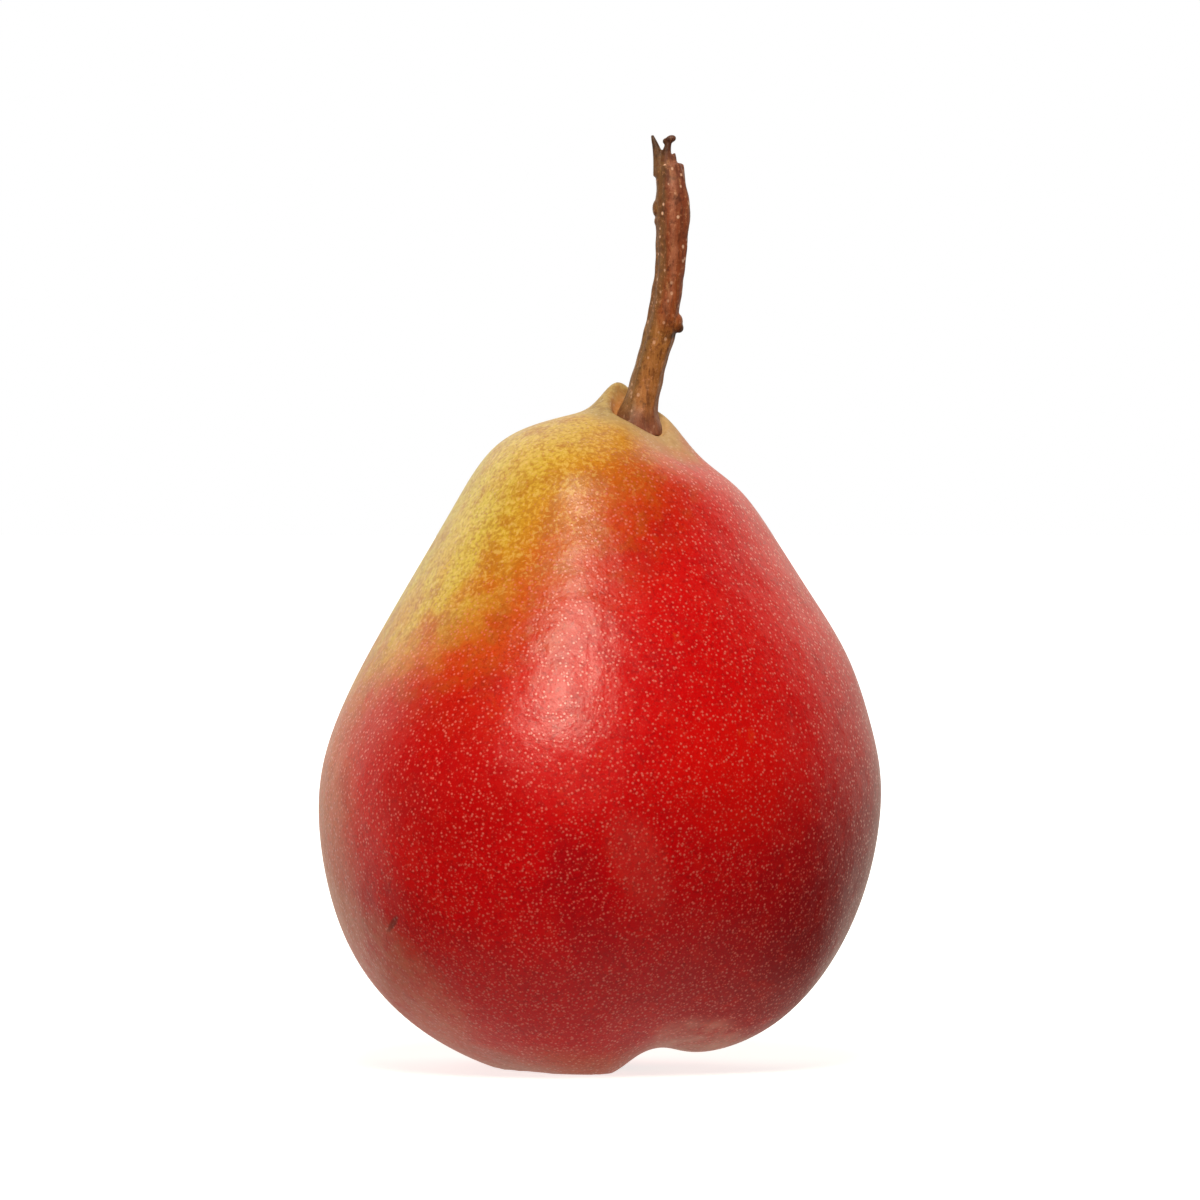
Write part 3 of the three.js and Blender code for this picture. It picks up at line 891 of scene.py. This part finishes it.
def bark_finish():
    """Reddish-brown bark, olive-brown lower down, with long streaks, dark patches and pale flecks, a painted
    highlight down its middle, and painted shade under the bud and at its foot.
    """
    f = Finish("stem_bark")
    along = f.stretched(1.0, 1.0, 0.16)
    streak = f.noise(0.55, 4.0, 0.62, place=along)
    ground = f.ramp(
        (f.z - 79) / 38 + (f.noise(3.5, 3.0, shift=4) - 0.5) * 0.25,
        [
            (0.0, colour(150, 84, 60)),
            (0.12, colour(172, 108, 58)),
            (0.3, colour(168, 106, 52)),
            (0.42, colour(154, 76, 38)),
            (0.7, colour(146, 70, 42)),
            (1.0, colour(124, 66, 52)),
        ],
    )
    ground = f.mix(streak.step(0.52, 0.68) * 0.6, ground, colour(88, 42, 22))
    ground = f.mix(streak.step(0.45, 0.3) * 0.6, ground, colour(198, 138, 92))
    middle = f.z.step(80, 101) * 4.1
    across = f.x - middle - 5.4 + f.noise(1.6, 2.0, shift=17) * 0.8
    ground = f.mix(across.step(-0.4, -1.3) * 0.65, ground, colour(112, 84, 48))
    # Painted highlight: a pale pinkish streak down the middle of the stem, where the key light would gleam.
    ridge = across.step(-0.6, 0.0) * across.step(0.7, 0.1) * f.z.step(92, 97)
    ground = f.mix(ridge * 0.4, ground, colour(206, 132, 104))
    speckle = f.noise(0.5, 3.0, 0.7, shift=23)
    ground = f.mix(speckle.step(0.54, 0.66) * 0.55, ground, colour(96, 34, 18))
    ground = f.mix(speckle.step(0.44, 0.34) * 0.5, ground, colour(206, 140, 104))
    dark = f.noise(1.3, 3.0, 0.6, shift=30).step(0.58, 0.7)
    ground = f.mix(dark * 0.5, ground, colour(70, 32, 20))
    flecks = f.spots(1.1, 0.12, 0.22, 1.0, place=f.stretched(1.0, 1.0, 0.8))
    ground = f.mix(flecks * (0.4 + f.z.step(94, 104) * 0.5), ground, colour(240, 190, 164))
    # Painted shade: a dark band just under the bud and on its lower right.
    bud_shadow = (f.x - f.z + f.noise(0.8, 2.0, shift=2)).step(-82.6, -81.8)
    bud_shadow = bud_shadow * f.z.step(91, 91.6) * f.z.step(94, 93)
    ground = f.mix(bud_shadow * 0.8, ground, colour(52, 26, 22))
    torn = (f.z + f.noise(0.8, 2.0, shift=7) * 3).step(114.6, 116.6)
    ground = f.mix(torn * 0.7, ground, colour(58, 32, 26))
    # Painted shade at the foot of the stem, where it sinks into the hollow of the fruit.
    foot_shade = f.z.step(83.2, 80.4)
    ground = f.mix(foot_shade * 0.5, ground, colour(128, 74, 62))
    normal = f.bump(streak, 0.22, 0.9)
    normal = f.bump(f.noise(0.35, 3.0, 0.6), 0.06, 0.7, under=normal)
    return f.close(
        {"IOR": 1.45, "Specular IOR Level": 0.5},
        {"Base Color": ground, "Roughness": 0.36 + streak * 0.3, "Normal": normal},
    )


def husk_finish():
    """Dry, dark, fibrous remains of the flower."""
    f = Finish("dry_husk")
    grain = f.noise(0.5, 4.0, 0.65)
    ground = f.ramp(
        grain,
        [
            (0.3, colour(34, 20, 14)),
            (0.55, colour(74, 48, 30)),
            (0.75, colour(126, 92, 58)),
        ],
    )
    normal = f.bump(grain, 0.15, 0.8)
    return f.close(
        {"IOR": 1.4, "Specular IOR Level": 0.3},
        {"Base Color": ground, "Roughness": 0.75 + grain * 0.2, "Normal": normal},
    )


# ---------------------------------------------------------------- studio

PEAR_MIDDLE = Vector((0, 0, 0.0585))
CAMERA_RISE = 1.0  # degrees above the horizon
CAMERA_LENS = 300
CAMERA_REACH = 20  # metres
FRAME_HEIGHT = 0.150  # what the frame shows at the pear, in metres
LAMP_AIM = Vector((0, 0, 0.045))
LAMP_COLOUR = (1.0, 0.96, 0.76)
BOUNCE_COLOUR = (1.0, 0.93, 0.78, 1)
WHITE = (1, 1, 1, 1)
FLOOR_SHOWN = (0.6, 0.6, 0.6, 1)  # the floor's grey to the camera
FLOOR_THROWN = (0.05, 0.05, 0.05, 1)  # and to the pear, so that it throws little of the lamps' light back
FLOOR_REACH = 6.0  # metres from the pear to the edge of the floor
FLOOR_GAP = 0.00005  # below the pear, so that the feet and the floor don't share a plane


def place_camera():
    """A long lens in front of the pear, a little above its middle."""
    data = bpy.data.cameras.new("camera")
    data.lens = CAMERA_LENS
    camera = bpy.data.objects.new("camera", data)
    bpy.context.scene.collection.objects.link(camera)
    far = FRAME_HEIGHT * CAMERA_LENS / data.sensor_width
    rise = math.radians(CAMERA_RISE)
    back = Vector((0, -math.cos(rise), math.sin(rise)))
    camera.location = PEAR_MIDDLE + back * far
    camera.rotation_euler = (-back).to_track_quat("-Z", "Y").to_euler()
    data.clip_end = CAMERA_REACH
    bpy.context.scene.camera = camera


def soft_box(name, azimuth, rise, distance, width, height, power, gloss=True, wash=True):
    """A soft rectangular light that faces the pear. The azimuth is 0 at the front and grows to the right.
    Without gloss it lights the pear and isn't mirrored in its skin, without wash it is only mirrored."""
    data = bpy.data.lights.new(name, "AREA")
    data.shape = "RECTANGLE"
    data.size = width
    data.size_y = height
    data.energy = power
    data.color = LAMP_COLOUR
    lamp = bpy.data.objects.new(name, data)
    bpy.context.scene.collection.objects.link(lamp)
    turn = math.radians(azimuth)
    climb = math.radians(rise)
    out = Vector((math.sin(turn) * math.cos(climb), -math.cos(turn) * math.cos(climb), math.sin(climb)))
    lamp.location = LAMP_AIM + out * distance
    lamp.rotation_euler = (-out).to_track_quat("-Z", "Y").to_euler()
    lamp.visible_glossy = gloss
    lamp.visible_diffuse = wash


def place_lights():
    """A key light above the front, a small glint beside it, two low fills and two dim lights behind."""
    soft_box("key", -3, 50, 0.9, 0.28, 0.38, 6.3)
    soft_box("glint", -5, 43, 0.9, 0.12, 0.2, 0.6, wash=False)
    soft_box("left_fill", -70, 9, 1.1, 0.5, 0.22, 2.3, gloss=False)
    soft_box("front_fill", 10, 9, 1.1, 0.6, 0.2, 3.4, gloss=False)
    soft_box("back_left", -140, 35, 1.2, 0.8, 0.8, 1.2)
    soft_box("back_right", 140, 35, 1.2, 0.8, 0.8, 1.2)


def make_world():
    """A white studio behind the pear and a dim one on the camera's side."""
    world = bpy.data.worlds.new("studio")
    world.use_nodes = True
    n = Nodes(world.node_tree)
    direction = n.add("ShaderNodeTexCoord", output="Generated")
    backwards = n.add("ShaderNodeSeparateXYZ", sockets={0: direction}, output="Y")
    glow = n.add(
        "ShaderNodeMapRange",
        {"interpolation_type": "SMOOTHSTEP"},
        {0: backwards, 1: 0.12, 2: 0.5, 3: 0.03, 4: 0.95},
    )
    thrown = n.add("ShaderNodeBackground", sockets={"Color": BOUNCE_COLOUR, "Strength": glow})
    shown = n.add("ShaderNodeBackground", sockets={"Color": WHITE})
    seen = n.add("ShaderNodeLightPath", output="Is Camera Ray")
    choice = n.add("ShaderNodeMixShader", sockets={0: seen, 1: thrown, 2: shown})
    n.add("ShaderNodeOutputWorld", sockets={"Surface": choice})
    bpy.context.scene.world = world


def make_floor():
    """A plain white floor, lit a little from within. It shows white, and throws little light back up."""
    mesh = bpy.data.meshes.new("floor")
    corners = [(-1, -1), (1, -1), (1, 1), (-1, 1)]
    mesh.from_pydata([(x * FLOOR_REACH, y * FLOOR_REACH, -FLOOR_GAP) for x, y in corners], [], [(0, 1, 2, 3)])
    floor = bpy.data.objects.new("floor", mesh)
    bpy.context.scene.collection.objects.link(floor)
    f = Finish("white_floor")
    seen = f.add("ShaderNodeLightPath", output="Is Camera Ray")
    away = (f.x * f.x + f.y * f.y) ** 0.5
    # What it throws up: a glow close round the base, and one from behind that is weaker on the right.
    under = away.step(64, 22) * 0.54
    backwards = f.y / away - (f.x / away).step(-0.4, 0.4) * 0.35
    behind = backwards.step(-0.35, 0.3) * away.step(20, 60) * 0.75
    # What it shows to the camera: a little greyer round the base.
    shown = away.step(60, 170) * 0.4 + 0.74
    strength = seen * shown + (1 - seen) * under.at_least(behind)
    finish = f.close(
        {"Roughness": 0.9, "Specular IOR Level": 0.1},
        {
            "Emission Color": f.mix(seen, BOUNCE_COLOUR, WHITE),
            "Base Color": f.mix(seen, FLOOR_THROWN, FLOOR_SHOWN),
            "Emission Strength": strength,
        },
    )
    floor.data.materials.append(finish)


# ---------------------------------------------------------------- the pear

SKIN = skin_finish()
BARK = bark_finish()
HUSK = husk_finish()


def dress(piece, material, node):
    """Gives a piece its finish and its place on the frame, and hides the imported part of the node that it
    stands for.
    """
    piece.data.materials.clear()
    piece.data.materials.append(material)
    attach(piece, "root")
    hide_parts(node)


dress(make_skin(), SKIN, "fruit")
dress(make_stem(), BARK, "stem")
for number in range(SEPALS):
    dress(make_sepal(number), HUSK, f"sepal_{number + 1}")
dress(make_tuft(HUSK), HUSK, "stamen_tuft")

make_floor()
make_world()
place_lights()
place_camera()
bpy.context.scene.view_settings.view_transform = "Standard"
